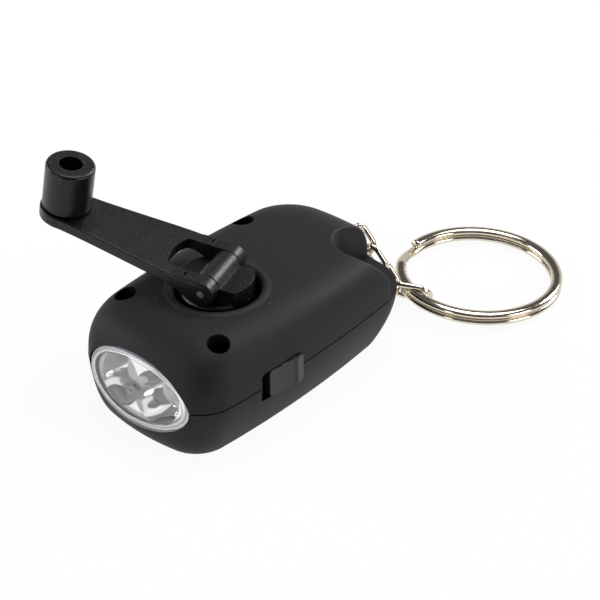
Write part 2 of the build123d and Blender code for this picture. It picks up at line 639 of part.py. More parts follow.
def arm_outline():
    """Plan of the arm: two ears, a waisted blade and a round tip."""
    with BuildSketch() as sketch:
        with BuildLine():
            tip = ARM_LENGTH
            shoulder = (tip - 1.0, ARM_TIP_R + 0.15)
            Line((0, -ARM_HALF_W), (0, ARM_HALF_W))
            drop = ARM_HALF_W - ARM_TIP_R
            edge = [(tip * far, ARM_HALF_W - drop * share) for far, share in ARM_TAPER] + [shoulder]
            Spline(*edge)
            ThreePointArc(shoulder, (tip + ARM_TIP_R, 0), (shoulder[0], -shoulder[1]))
            Spline(*[(x, -y) for x, y in edge])
        make_face()
    return sketch.sketch


def ear_profile():
    """Side view of one ear, round about the hinge pin and running into the blade."""
    with BuildSketch(Plane.XZ) as sketch:
        Circle(BARREL_R)
        with Locations((EAR_RUN, ARM_TOP - ARM_T / 2)):
            Rectangle(0.5, ARM_T)
        make_hull()
    return sketch.sketch


def crank_arm():
    """Forked arm with hinge ears at one end and a post for the knob at the other."""
    bottom = ARM_TOP - ARM_T
    arm = extrude(Pos(0, 0, bottom) * arm_outline(), ARM_T, dir=(0, 0, 1))
    arm = fillet(arm.edges().group_by(Axis.Z)[-1].filter_by(lambda e: e.center().X > 1), 0.35)
    arm = chamfer(arm.edges().group_by(Axis.Z)[0].filter_by(lambda e: e.center().X > 1), 0.3)
    ears = extrude(ear_profile(), ARM_HALF_W, both=True)
    arm += ears
    arm -= arm_window()
    arm -= Rot(90, 0, 0) * Cylinder(PIN_R + RUN, 4 * ARM_HALF_W)
    for side in (-1, 1):
        middle = side * (EAR_INNER + ARM_HALF_W) / 2
        arm -= Pos(EAR_POCKET_X, middle, ARM_TOP) * Box(EAR_POCKET_W, EAR_POCKET_W, 2 * EAR_POCKET_DEPTH)
    post = bar(KNOB_POST_R, bottom + 0.5, ARM_TOP + KNOB_FLOOR_H + 2 * KNOB_GAP, ARM_LENGTH)
    arm += post
    arm -= bar(KNOB_SCREW_R, ARM_TOP, TOP_Z, ARM_LENGTH)
    return ARM_PLACE * arm


def arm_window():
    """Space between the ears, rounded at the end of the tongue."""
    with BuildSketch() as sketch:
        with BuildLine():
            corner = sqrt(WINDOW_END ** 2 - EAR_INNER ** 2)
            Polyline((corner, EAR_INNER), (-3, EAR_INNER), (-3, -EAR_INNER), (corner, -EAR_INNER))
            ThreePointArc((corner, EAR_INNER), (WINDOW_END, 0), (corner, -EAR_INNER))
        make_face()
        fillet(sketch.vertices().filter_by(lambda v: v.X > 0), 0.9)
    return extrude(Pos(0, 0, -5) * sketch.sketch, 10, dir=(0, 0, 1))


def crank_knob():
    """Round grip that turns on the post of the arm."""
    z0 = ARM_TOP + KNOB_GAP
    knob = bar(KNOB_R, z0, z0 + KNOB_H)
    knob = fillet(knob.edges().sort_by(Axis.Z)[-1], 0.6)
    knob = chamfer(knob.edges().sort_by(Axis.Z)[0], 0.3)
    knob -= bar(KNOB_POST_R + RUN, 0, TOP_Z)
    knob -= bar(KNOB_BORE_R, z0 + KNOB_FLOOR_H, TOP_Z)
    return ARM_PLACE * (Pos(ARM_LENGTH, 0, 0) * knob)


def knob_screw():
    """Screw on the post that holds the knob."""
    seat = ARM_TOP + KNOB_FLOOR_H + 2 * KNOB_GAP
    screw = bar(KNOB_BORE_R - 2 * FIT, seat, seat + 0.9)
    screw = fillet(screw.edges().sort_by(Axis.Z)[-1], 0.35)
    screw += bar(KNOB_SCREW_R - THREAD_GAP, seat - 3, seat + 0.2)
    screw -= cross_recess(KNOB_BORE_R, seat + 0.9)
    return ARM_PLACE * (Pos(ARM_LENGTH, 0, 0) * screw)


def involute(radius, base):
    """Involute angle at a radius, in radians."""
    return sqrt((radius / base) ** 2 - 1) - acos(base / radius)


def gear_face(teeth, module, addendum, dedendum, tooth_angle):
    """Involute gear outline with one tooth centred on the given direction."""
    pitch = module * teeth / 2
    base = pitch * cos(radians(PRESSURE))
    tip = pitch + addendum * module
    root = pitch - dedendum * module
    start = max(base, root)
    half_pitch = (pi * module - BACKLASH) / (4 * pitch)

    def edge_angle(radius):
        """Half angle of a tooth at a radius, in degrees."""
        return degrees(half_pitch + involute(pitch, base) - involute(max(radius, base), base))

    middle = (start + tip) / 2
    step = 360 / teeth
    edges = []
    for i in range(teeth):
        centre = tooth_angle + i * step
        foot = edge_angle(start)
        rise = [polar(r, centre - edge_angle(r)) for r in (start, middle, tip)]
        fall = [polar(r, centre + edge_angle(r)) for r in (tip, middle, start)]
        if root < start:
            edges.append(Line(polar(root, centre - foot), rise[0]))
            edges.append(Line(fall[2], polar(root, centre + foot)))
        edges.append(ThreePointArc(*rise))
        edges.append(ThreePointArc(rise[2], polar(tip, centre), fall[0]))
        edges.append(ThreePointArc(*fall))
        gap = [polar(root, centre + a) for a in (foot, step / 2, step - foot)]
        edges.append(ThreePointArc(*gap))
    return make_face(edges)


def gear(teeth, module, addendum, dedendum, tooth_angle, z0, z1, centre):
    """Spur gear blank at its place."""
    face = gear_face(teeth, module, addendum, dedendum, tooth_angle)
    return Pos(centre[0], centre[1], z0) * extrude(face, z1 - z0, dir=(0, 0, 1))


def wheel(teeth, module, tooth_angle, z0, z1, centre=(0.0, 0.0)):
    """Large gear of a pair."""
    return gear(teeth, module, WHEEL_ADDENDUM, WHEEL_DEDENDUM, tooth_angle, z0, z1, centre)


def pinion(teeth, module, toward, z0, z1, centre):
    """Small gear of a pair, with a gap that faces the wheel it meets."""
    return gear(teeth, module, PINION_ADDENDUM, PINION_DEDENDUM, toward + 180 / teeth, z0, z1, centre)


def drive_gear():
    """First wheel, keyed on the hub shaft, lightened by six windows."""
    body = wheel(DRIVE_TEETH, MODULE_1, IDLER_1_ANGLE, DRIVE_Z, DRIVE_Z + DRIVE_T)
    for i in range(6):
        body -= bar(0.16 * DRIVE_TIP_R, DRIVE_Z - 1, DRIVE_Z + 2, *polar(0.59 * DRIVE_TIP_R, 30 + 60 * i))
    return body - keyed_shaft(RUN)


def idler_gear_1():
    """Pinion under the first wheel and a wheel below it, on one sleeve."""
    x, y = IDLER_1_XY
    toward = direction(IDLER_1_XY, IDLER_2_XY)
    body = wheel(WHEEL_TEETH, MODULE_2, toward, WHEEL_1_Z, WHEEL_1_Z + WHEEL_T, IDLER_1_XY)
    body += pinion(PINION_1_TEETH, MODULE_1, IDLER_1_ANGLE + 180, WHEEL_1_Z + WHEEL_T,
                   DRIVE_Z + DRIVE_T + FIT, IDLER_1_XY)
    body += bar(1.4, PLATE_Z + PLATE_T + WASHER, WHEEL_1_Z + 0.1, x, y)
    return body - bar(AXLE_R + RUN, 0, TOP_Z, x, y)


def idler_gear_2():
    """Second idler: wheel below, pinion above."""
    x, y = IDLER_2_XY
    body = wheel(WHEEL_TEETH, MODULE_2, direction(IDLER_2_XY, ROTOR_XY), WHEEL_2_Z, WHEEL_2_Z + WHEEL_T,
                 IDLER_2_XY)
    body += pinion(PINION_TEETH, MODULE_2, direction(IDLER_2_XY, IDLER_1_XY), WHEEL_2_Z + WHEEL_T,
                   WHEEL_1_Z + WHEEL_T + FIT, IDLER_2_XY)
    body += bar(1.3, PLATE_Z + PLATE_T + WASHER, WHEEL_2_Z + 0.1, x, y)
    return body - bar(AXLE_R + RUN, 0, TOP_Z, x, y)


def rotor_pinion():
    """Pinion pressed on the rotor shaft."""
    body = pinion(PINION_TEETH, MODULE_2, direction(ROTOR_XY, IDLER_2_XY), WHEEL_2_Z - FIT,
                  WHEEL_2_Z + WHEEL_T + 3 * FIT, ROTOR_XY)
    return body - bar(AXLE_R, 0, TOP_Z, *ROTOR_XY)


def idler_pin_1():
    """Axle between the gear plate and the boss under the roof."""
    return bar(AXLE_R, PLATE_Z, PIN_1_TOP - FIT, *IDLER_1_XY)


def idler_pin_2():
    """Short axle fixed in the gear plate."""
    return bar(AXLE_R, PLATE_Z, DRIVE_Z - 2 * FIT, *IDLER_2_XY)


def rotor_shaft():
    """Shaft of the magnet rotor."""
    return bar(AXLE_R, ROTOR_END_Z, WHEEL_2_Z + WHEEL_T + 5 * FIT, *ROTOR_XY)


def rotor_magnet():
    """Ring magnet on the rotor shaft."""
    z0 = BEARING_TOP_Z + 3 * FIT
    return tube(MAGNET_R, AXLE_R, z0, STATOR_TOP_Z - STATOR_T - 3 * FIT, *ROTOR_XY)


def gear_plate():
    """Plate over the generator that carries the idlers, with three lugs and a locating ring."""
    with BuildSketch() as sketch:
        with Locations(ROTOR_XY):
            Circle(PLATE_RING_R)
        with Locations(IDLER_1_XY):
            Circle(2.6)
        with Locations(*PLATE_POSTS):
            Circle(PLATE_LUG_R)
        make_hull()
    plate = extrude(Pos(0, 0, PLATE_Z) * sketch.sketch, PLATE_T, dir=(0, 0, 1))
    plate &= lower_form(WALL + 2 * FIT)
    plate += tube(STATOR_R, STATOR_R - 0.8, STATOR_TOP_Z, PLATE_Z + 0.1, *ROTOR_XY)
    for centre in (IDLER_1_XY, IDLER_2_XY):
        plate -= bar(AXLE_R, 0, TOP_Z, *centre)
    plate -= bar(AXLE_R + RUN, 0, TOP_Z, *ROTOR_XY)
    for x, y in PLATE_POSTS:
        plate -= bar(PLATE_SCREW_R + FIT, 0, TOP_Z, x, y)
    return plate


def plate_screws():
    """Screws from below through the lugs into the posts."""
    screws = []
    for x, y in PLATE_POSTS:
        screw = bar(PLATE_SCREW_HEAD_R, PLATE_Z - 1, PLATE_Z, x, y)
        tip = PLATE_Z + PLATE_SCREW_LENGTH - 0.5
        screws.append(screw + bar(PLATE_SCREW_R - THREAD_GAP, PLATE_Z - 0.5, tip, x, y))
    return Compound(children=screws)


def claws(z0, z1, turn):
    """Ring of pole fingers round the magnet."""
    x, y = ROTOR_XY
    inner = MAGNET_R + AIR_GAP
    ring = tube(inner + STATOR_T, inner, z0, z1, x, y)
    comb = Box(4 * inner, CLAW_W, 4 * TOP_Z)
    for i in range(1, POLES // 2):
        comb += Rot(0, 0, 360 / POLES * i) * Box(4 * inner, CLAW_W, 4 * TOP_Z)
    return ring & (Pos(x, y, 0) * Rot(0, 0, turn) * comb)


def stator_lower():
    """Lower pole plate with its fingers turned up."""
    z0 = STATOR_FLOOR_Z
    plate = tube(STATOR_R, BEARING_BOSS_R + 3 * FIT, z0, z0 + STATOR_T, *ROTOR_XY)
    return plate + claws(z0, STATOR_TOP_Z - STATOR_T - 4 * FIT, 0)


def stator_upper():
    """Can of the generator with its pole fingers turned down."""
    z0 = STATOR_FLOOR_Z + STATOR_T
    top = STATOR_TOP_Z
    can = tube(STATOR_R, BEARING_BOSS_R + 3 * FIT, top - STATOR_T, top, *ROTOR_XY)
    can += tube(STATOR_R, STATOR_R - CAN_T, z0, top, *ROTOR_XY)
    return can + claws(z0 + 4 * FIT, top, 180 / POLES)


def coil_bobbin():
    """Plastic bobbin round the pole fingers."""
    z0 = STATOR_FLOOR_Z + STATOR_T + FIT
    z1 = STATOR_TOP_Z - STATOR_T - FIT
    inner = MAGNET_R + AIR_GAP + STATOR_T + FIT
    outer = STATOR_R - CAN_T - FIT
    bobbin = tube(outer, inner, z0, z0 + BOBBIN_T, *ROTOR_XY)
    bobbin += tube(outer, inner, z1 - BOBBIN_T, z1, *ROTOR_XY)
    return bobbin + tube(inner + BOBBIN_T, inner, z0, z1, *ROTOR_XY)


def coil_winding():
    """Copper winding between the bobbin flanges."""
    z0 = STATOR_FLOOR_Z + STATOR_T + FIT + BOBBIN_T
    z1 = STATOR_TOP_Z - STATOR_T - FIT - BOBBIN_T
    inner = MAGNET_R + AIR_GAP + STATOR_T + FIT + BOBBIN_T
    return tube(STATOR_R - CAN_T - 2 * FIT, inner, z0, z1, *ROTOR_XY)


def bend(radius, wire_r, turn=0.0):
    """Half ring of round wire in the XY plane, bulging towards +X before the turn."""
    section = Plane(origin=(0, -radius, 0), x_dir=(0, 1, 0), z_dir=(1, 0, 0)) * Circle(wire_r)
    return Rot(0, 0, turn) * revolve(section, Axis.Z, 180)


def rod(start, end, radius):
    """Round rod between two points."""
    along = Vector(*end) - Vector(*start)
    plane = Plane(origin=start, z_dir=along)
    return plane * Cylinder(radius, along.length, align=(Align.CENTER, Align.CENTER, Align.MIN))


def link(inner_length, inner_width, centre, axis, normal):
    """Closed link of round wire with its long axis and the normal of its plane given."""
    radius = inner_width / 2 + LINK_WIRE_R
    half = (inner_length - inner_width) / 2
    loop = Pos(half, 0, 0) * bend(radius, LINK_WIRE_R)
    loop += Pos(-half, 0, 0) * bend(radius, LINK_WIRE_R, 180)
    for side in (-radius, radius):
        loop += rod((-half, side, 0), (half, side, 0), LINK_WIRE_R)
    return Plane(origin=centre, x_dir=axis, z_dir=normal) * loop


def eyelet_rods(y0, y1, radius):
    """The same stretch of both legs of the eyelet."""
    x, y, z = EYELET
    side, rise = polar(EYELET_BEND_R, EYELET_SLANT)
    rods = rod((x - side, y0, z - rise), (x - side, y1, z - rise), radius)
    return rods + rod((x + side, y0, z + rise), (x + side, y1, z + rise), radius)


def rear_eyelet():
    """Wire staple in the rear wall, with upset feet inside."""
    x, y, z = EYELET
    bend_y = y - EYELET_BEND_R
    slant = radians(EYELET_SLANT)
    place = Plane(origin=(x, bend_y, z), x_dir=(0, 1, 0), z_dir=(-sin(slant), 0, cos(slant)))
    eye = eyelet_rods(EYELET_FOOT_Y, bend_y, LINK_WIRE_R) + place * bend(EYELET_BEND_R, LINK_WIRE_R)
    return eye + eyelet_rods(EYELET_FOOT_Y, EYELET_FOOT_Y + 0.6, 2 * LINK_WIRE_R)


def chain_link(number):
    """One of the three links between the eyelet and the end link."""
    first = LINK_INNER_LENGTH / 2 - LINK_WIRE_R - CHAIN_GAP
    centre = Vector(*EYELET) + CHAIN_AXIS * (first + (number - 1) * (LINK_INNER_LENGTH - CHAIN_GAP))
    normal = (FIRST_NORMAL, MIDDLE_NORMAL, LAST_NORMAL)[number - 1]
    return link(LINK_INNER_LENGTH, LINK_INNER_WIDTH, centre, CHAIN_AXIS, normal)


def end_link():
    """Wide link between the chain and the split ring."""
    normal = END_AXIS.cross(END_UP)
    return link(END_LINK_INNER_LENGTH, END_LINK_INNER_WIDTH, END_CENTRE, END_AXIS, normal)


def ring_section(angle, height):
    """Cross section of the flattened ring wire at a direction and a height."""
    radius = RING_R - RING_WIRE_W / 2
    x, y = polar(radius, angle)
    outward = (cos(radians(angle)), sin(radians(angle)), 0)
    plane = Plane(origin=(x, y, height), x_dir=outward, z_dir=(-outward[1], outward[0], 0))
    return (plane * RectangleRounded(RING_WIRE_W, RING_WIRE_H - RING_TURN_GAP, RING_CORNER_R)).face()


def split_ring():
    """Two turns of flattened wire joined by one ramp."""
    low, high = -RING_WIRE_H / 2, RING_WIRE_H / 2
    start = RING_RAMP_ANGLE - RING_RAMP_SPAN / 2
    turn = 360 - RING_RAMP_SPAN
    lower = revolve(ring_section(start, low), Axis.Z, -turn)
    upper = revolve(ring_section(start + RING_RAMP_SPAN, high), Axis.Z, turn)
    faces = []
    for i in range(7):
        share = i / 6
        height = low + (high - low) * (1 - cos(pi * share)) / 2
        faces.append(ring_section(start + RING_RAMP_SPAN * share, height))
    return RING_PLACE * (lower + loft(faces) + upper)


NODES = {
    "upper_shell": upper_shell,
    "lower_shell": lower_shell,
    "case_screws": case_screws,
    "lens": lens,
    "reflector": reflector,
    "led_left": lambda: led(-1),
    "led_right": lambda: led(1),
    "led_board": led_board,
    "main_board": main_board,
    "rectifier_diodes": rectifier_diodes,
    "button_cell": button_cell,
    "cell_clip": cell_clip,
    "switch_can": switch_can,
    "switch_lever": switch_lever,
    "switch_slider": switch_slider,
    "crank_hub": crank_hub,
    "hub_screw": hub_screw,
    "hinge_pin": hinge_pin,
    "crank_arm": crank_arm,
    "crank_knob": crank_knob,
    "knob_screw": knob_screw,
    "drive_gear": drive_gear,
    "idler_gear_1": idler_gear_1,
    "idler_gear_2": idler_gear_2,
    "idler_pin_1": idler_pin_1,
    "idler_pin_2": idler_pin_2,
    "rotor_pinion": rotor_pinion,
    "rotor_shaft": rotor_shaft,
    "rotor_magnet": rotor_magnet,
    "gear_plate": gear_plate,
    "plate_screws": plate_screws,
    "stator_lower": stator_lower,
    "stator_upper": stator_upper,
    "coil_bobbin": coil_bobbin,
    "coil_winding": coil_winding,
    "rear_eyelet": rear_eyelet,
    "chain_link_1": lambda: chain_link(1),
    "chain_link_2": lambda: chain_link(2),
    "chain_link_3": lambda: chain_link(3),
    "end_link": end_link,
    "split_ring": split_ring,
}

os.makedirs("parts", exist_ok=True)
for name, make in NODES.items():
    export_step(make(), f"parts/{name}.step")
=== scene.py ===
import bpy
from math import radians
from mathutils import Matrix, Vector


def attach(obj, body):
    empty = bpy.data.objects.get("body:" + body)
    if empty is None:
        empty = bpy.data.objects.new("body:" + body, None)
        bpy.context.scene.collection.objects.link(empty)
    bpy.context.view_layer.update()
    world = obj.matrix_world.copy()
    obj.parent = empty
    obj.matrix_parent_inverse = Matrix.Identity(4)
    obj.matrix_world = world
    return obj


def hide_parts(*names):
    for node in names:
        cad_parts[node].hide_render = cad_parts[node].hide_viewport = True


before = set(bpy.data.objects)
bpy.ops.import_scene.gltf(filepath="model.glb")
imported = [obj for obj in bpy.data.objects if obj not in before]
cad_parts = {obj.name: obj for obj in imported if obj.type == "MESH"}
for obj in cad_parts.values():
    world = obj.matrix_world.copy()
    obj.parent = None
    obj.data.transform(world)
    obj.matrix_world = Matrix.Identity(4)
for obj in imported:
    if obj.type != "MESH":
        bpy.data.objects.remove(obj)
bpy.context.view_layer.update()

# ---- the table and the backdrop ----
# A seamless sheet of matt white paper, under and behind the torch.
# It stays pale in the picture but still takes the soft shadow of the case.


def hex_colour(text):
    """Linear colour with full alpha from an sRGB hex text."""
    values = [int(text[i:i + 2], 16) / 255 for i in (0, 2, 4)]
    return tuple(v / 12.92 if v <= 0.04045 else ((v + 0.055) / 1.055) ** 2.4 for v in values) + (1.0,)


def add(tree, kind, settings=None, **inputs):
    """A node with its settings, and its inputs set to values or linked from sockets."""
    node = tree.nodes.new(kind)
    for name, value in (settings or {}).items():
        setattr(node, name, value)
    for name, value in inputs.items():
        socket = node.inputs[int(name[1:])] if name[0] == "_" else node.inputs[name.replace("_", " ")]
        if isinstance(value, bpy.types.NodeSocket):
            tree.links.new(value, socket)
        else:
            socket.default_value = value
    return node


def new_material(name):
    """An empty node material and its output node."""
    material = bpy.data.materials.new(name)
    material.use_nodes = True
    material.node_tree.nodes.clear()
    output = material.node_tree.nodes.new("ShaderNodeOutputMaterial")
    return material, material.node_tree, output


# White paper: a plain diffuse sheet. Part of what the camera, metal and glass see is its
# own white, so that the background is pale while the object's shadow still shows.
paper, tree, output = new_material("white_paper")
diffuse = add(tree, "ShaderNodeBsdfDiffuse", Color=hex_colour("f4f4f4"), Roughness=0.9)
glow = add(tree, "ShaderNodeEmission", Color=(1, 1, 1, 1), Strength=1.0)
ray = add(tree, "ShaderNodeLightPath")
seen = add(tree, "ShaderNodeMath", {"operation": "ADD"}, _0=ray.outputs["Is Camera Ray"],
           _1=ray.outputs["Is Glossy Ray"])
seen = add(tree, "ShaderNodeMath", {"operation": "ADD", "use_clamp": True}, _0=seen.outputs[0],
           _1=ray.outputs["Is Transmission Ray"])
share = add(tree, "ShaderNodeMath", {"operation": "MULTIPLY"}, _0=seen.outputs[0], _1=0.93)
mixed = add(tree, "ShaderNodeMixShader", _0=share.outputs[0], _1=diffuse.outputs[0], _2=glow.outputs[0])
tree.links.new(mixed.outputs[0], output.inputs["Surface"])

bpy.ops.mesh.primitive_plane_add(size=6.0, location=(0, 0, -0.00003))
table = bpy.context.object
table.name = "white_table"
table.data.materials.append(paper)

# ---- the camera ----
# It stands where the photograph was taken: to the right of the lens and above,
# with a long lens that fills the frame with the torch and its ring.
camera_data = bpy.data.cameras.new("camera")
camera_data.lens = 120.0
camera_data.sensor_width = 36.0
camera_data.clip_start = 0.01
camera = bpy.data.objects.new("camera", camera_data)
bpy.context.scene.collection.objects.link(camera)
stand = Vector((0.193595, -0.191049, 0.205370))
aim = Vector((0.002684, 0.017069, 0.010))
turn = (aim - stand).to_track_quat("-Z", "Y").to_matrix() @ Matrix.Rotation(radians(-0.756), 3, "Z")
camera.matrix_world = Matrix.Translation(stand) @ turn.to_4x4()
bpy.context.scene.camera = camera
bpy.context.scene.view_settings.view_transform = "Standard"

# ---- the studio light ----
# A dim room with a large softbox overhead, a strong one behind, and others at the
# sides and in front. The paper sweep rises behind the table, so the room is light there.
# The room is darkest towards the horizon, which gives the bright metal its dark lines.
world = bpy.data.worlds.new("studio_room")
bpy.context.scene.world = world
world.use_nodes = True
tree = world.node_tree
tree.nodes.clear()
output = tree.nodes.new("ShaderNodeOutputWorld")
ray = add(tree, "ShaderNodeLightPath")
way = add(tree, "ShaderNodeTexCoord")
split = add(tree, "ShaderNodeSeparateXYZ", Vector=way.outputs["Generated"])
bands = add(tree, "ShaderNodeValToRGB", Fac=split.outputs["Z"])
ramp = bands.color_ramp
ramp.elements[0].position = 0.0
ramp.elements[0].color = (0.12, 0.12, 0.13, 1)
ramp.elements[1].position = 0.8
ramp.elements[1].color = (0.16, 0.16, 0.165, 1)
dark = ramp.elements.new(0.22)
dark.color = (0.05, 0.05, 0.055, 1)
rise = ramp.elements.new(0.42)
rise.color = (0.09, 0.09, 0.095, 1)
sweep = add(tree, "ShaderNodeValToRGB", Fac=split.outputs["Z"])
ramp = sweep.color_ramp
ramp.elements[0].position = 0.30
ramp.elements[0].color = (0.75, 0.74, 0.72, 1)
ramp.elements[1].position = 0.46
ramp.elements[1].color = (0.12, 0.12, 0.12, 1)
behind = add(tree, "ShaderNodeVectorMath", {"operation": "DOT_PRODUCT"}, _0=way.outputs["Generated"],
             _1=(-0.68, 0.73, 0.0))
far = add(tree, "ShaderNodeMapRange", Value=behind.outputs["Value"], From_Min=0.05, From_Max=0.55)
walls = add(tree, "ShaderNodeMix", {"data_type": "RGBA"}, Factor=far.outputs[0], _6=bands.outputs["Color"],
            _7=sweep.outputs["Color"])
room = add(tree, "ShaderNodeBackground", Color=walls.outputs[2], Strength=0.9)
white = add(tree, "ShaderNodeBackground", Color=(1, 1, 1, 1), Strength=1.0)
mixed = add(tree, "ShaderNodeMixShader", _0=ray.outputs["Is Camera Ray"], _1=room.outputs[0],
            _2=white.outputs[0])
tree.links.new(mixed.outputs[0], output.inputs["Surface"])


def softbox(name, place, size, power):
    """Square area lamp that points at the torch."""
    lamp = bpy.data.lights.new(name, "AREA")
    lamp.size = size
    lamp.energy = power
    box = bpy.data.objects.new(name, lamp)
    bpy.context.scene.collection.objects.link(box)
    box.location = place
    box.rotation_euler = (aim - Vector(place)).to_track_quat("-Z", "Y").to_euler()


softbox("key_softbox", (-0.05, 0.20, 0.62), 0.40, 2.6)
softbox("rear_softbox", (0.16, 0.58, 0.34), 0.24, 3.2)
softbox("right_softbox", (0.55, 0.12, 0.22), 0.26, 1.2)
softbox("left_softbox", (-0.50, -0.26, 0.26), 0.28, 1.6)
softbox("front_softbox", (-0.10, -0.46, 0.10), 0.36, 0.8)


def dress(material, *names):
    """Give CAD nodes their material."""
    for name in names:
        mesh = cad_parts[name].data
        mesh.materials.clear()
        mesh.materials.append(material)


# ---- the two shells of the case ----
# Injection moulded ABS with a soft matt charcoal texture from the mould.
# The shells meet in a fine joint line at half height and are screwed from above.
matt_abs, tree, output = new_material("matt_charcoal_abs")
place = add(tree, "ShaderNodeTexCoord")
# mould texture: real grain is about 0.15 mm, drawn at 0.3 mm so that it shows
grain = add(tree, "ShaderNodeTexNoise", Vector=place.outputs["Object"], Scale=3300.0, Detail=3.0,
            Roughness=0.6)
# handling marks: slow changes of gloss over about 8 mm
marks = add(tree, "ShaderNodeTexNoise", Vector=place.outputs["Object"], Scale=120.0, Detail=4.0,
            Roughness=0.55)
gloss = add(tree, "ShaderNodeMapRange", Value=marks.outputs["Fac"], To_Min=0.50, To_Max=0.62)
tint = add(tree, "ShaderNodeMix", {"data_type": "RGBA"}, Factor=grain.outputs["Fac"],
           _6=hex_colour("151418"), _7=hex_colour("1f1e23"))
# dust: single pale specks of about 0.15 mm, a few to the square centimetre
dust = add(tree, "ShaderNodeTexVoronoi", Vector=place.outputs["Object"], Scale=520.0, Randomness=1.0)
speck = add(tree, "ShaderNodeMapRange", Value=dust.outputs["Distance"], From_Min=0.05, From_Max=0.09,
            To_Min=1.0, To_Max=0.0)
drift = add(tree, "ShaderNodeTexNoise", Vector=place.outputs["Object"], Scale=260.0, Detail=2.0)
few = add(tree, "ShaderNodeMapRange", Value=drift.outputs["Fac"], From_Min=0.62, From_Max=0.70)
lint = add(tree, "ShaderNodeMath", {"operation": "MULTIPLY"}, _0=speck.outputs[0], _1=few.outputs[0])
dusty = add(tree, "ShaderNodeMix", {"data_type": "RGBA"}, Factor=lint.outputs[0], _6=tint.outputs[2],
            _7=hex_colour("77777a"))
bump = add(tree, "ShaderNodeBump", Height=grain.outputs["Fac"], Strength=0.18, Distance=0.00004)
skin = add(tree, "ShaderNodeBsdfPrincipled", Base_Color=dusty.outputs[2], Roughness=gloss.outputs[0],
           IOR=1.45, Specular_IOR_Level=0.22, Normal=bump.outputs[0])
# painted shade: the nest, the well and the holes are drawn darker and duller where occlusion finds them
# closed in, as shade would fall there
occlusion_for_painted_shade = add(tree, "ShaderNodeAmbientOcclusion", {"samples": 6, "only_local": True}, Distance=0.006)
painted_shade_mask = add(tree, "ShaderNodeMapRange", Value=occlusion_for_painted_shade.outputs["AO"], From_Min=0.50, From_Max=0.95)
# painted shade: a near-black rough skin that stands in for the shade in these hollows
painted_shade_skin = add(tree, "ShaderNodeBsdfPrincipled", Base_Color=hex_colour("070708"), Roughness=0.8, IOR=1.45,
           Specular_IOR_Level=0.12)
skin = add(tree, "ShaderNodeMixShader", _0=painted_shade_mask.outputs[0], _1=painted_shade_skin.outputs[0], _2=skin.outputs[0])
tree.links.new(skin.outputs[0], output.inputs["Surface"])
dress(matt_abs, "upper_shell", "lower_shell")

# ---- the bead round the crank well ----
# A low soft ring moulded on the crown of the upper shell, where the well begins.
# It stands a third of a millimetre above the crown and rolls over into the well.
import bmesh


def finish_mesh(name, form, material, body):
    """The bmesh as an object that rides a body, normals outwards, with its finish."""
    bmesh.ops.recalc_face_normals(form, faces=form.faces)
    mesh = bpy.data.meshes.new(name)
    form.to_mesh(mesh)
    form.free()
    mesh.polygons.foreach_set("use_smooth", [True] * len(mesh.polygons))
    mesh.materials.append(material)
    piece = bpy.data.objects.new(name, mesh)
    bpy.context.scene.collection.objects.link(piece)
    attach(piece, body)
    return piece


bead = bmesh.new()
section = [(7.10, 19.10), (7.14, 19.60), (7.30, 20.15), (7.60, 20.50), (7.98, 20.62), (8.38, 20.54),
           (8.75, 20.36), (9.10, 20.24), (8.60, 20.00), (7.60, 19.10)]
corners = [bead.verts.new((r / 1000, 0, z / 1000)) for r, z in section]
edges = [bead.edges.new((corners[i], corners[i - 1])) for i in range(len(corners))]
bmesh.ops.spin(bead, geom=corners + edges, cent=(0, 0, 0), axis=(0, 0, 1), angle=radians(360), steps=144,
               use_merge=True)
finish_mesh("well_bead", bead, matt_abs, "housing")

# ---- the lens ----
# Clear acrylic window, moulded as a shallow oval cup with a polished, domed face.
# Its thick wall carries light from the reflector; that light is painted into the rim as pale and grey streaky
# colour.
acrylic, tree, output = new_material("clear_acrylic")
place = add(tree, "ShaderNodeTexCoord")
haze = add(tree, "ShaderNodeTexNoise", Vector=place.outputs["Object"], Scale=400.0, Detail=3.0)
gloss = add(tree, "ShaderNodeMapRange", Value=haze.outputs["Fac"], To_Min=0.01, To_Max=0.05)
clear = add(tree, "ShaderNodeBsdfPrincipled", Base_Color=hex_colour("ffffff"), Roughness=gloss.outputs[0],
            IOR=1.49, Transmission_Weight=1.0)
# the oval of the wall in the plane of the lens, which leans back by 10.8 degrees:
# 10.2 by 5.1 mm at its inside, so the distance below is 1 there and about 1.13 outside
oval = add(tree, "ShaderNodeMapping", {"vector_type": "TEXTURE"}, Vector=place.outputs["Object"],
           Location=(0, -0.0197, 0.0105), Rotation=(radians(-10.8), 0, 0), Scale=(0.0102, 1.0, 0.0051))
across = add(tree, "ShaderNodeSeparateXYZ", Vector=oval.outputs[0])
flat = add(tree, "ShaderNodeCombineXYZ", X=across.outputs["X"], Z=across.outputs["Z"])
reach = add(tree, "ShaderNodeVectorMath", {"operation": "LENGTH"}, _0=flat.outputs[0])
streak = add(tree, "ShaderNodeTexNoise", Vector=place.outputs["Object"], Scale=260.0, Detail=3.0,
             Distortion=1.2)
waver = add(tree, "ShaderNodeMapRange", Value=streak.outputs["Fac"], To_Min=-0.035, To_Max=0.035)
ripple = add(tree, "ShaderNodeMath", {"operation": "ADD"}, _0=reach.outputs["Value"], _1=waver.outputs[0])
rim = add(tree, "ShaderNodeMapRange", Value=ripple.outputs[0], From_Min=0.955, From_Max=0.975, To_Max=0.62)
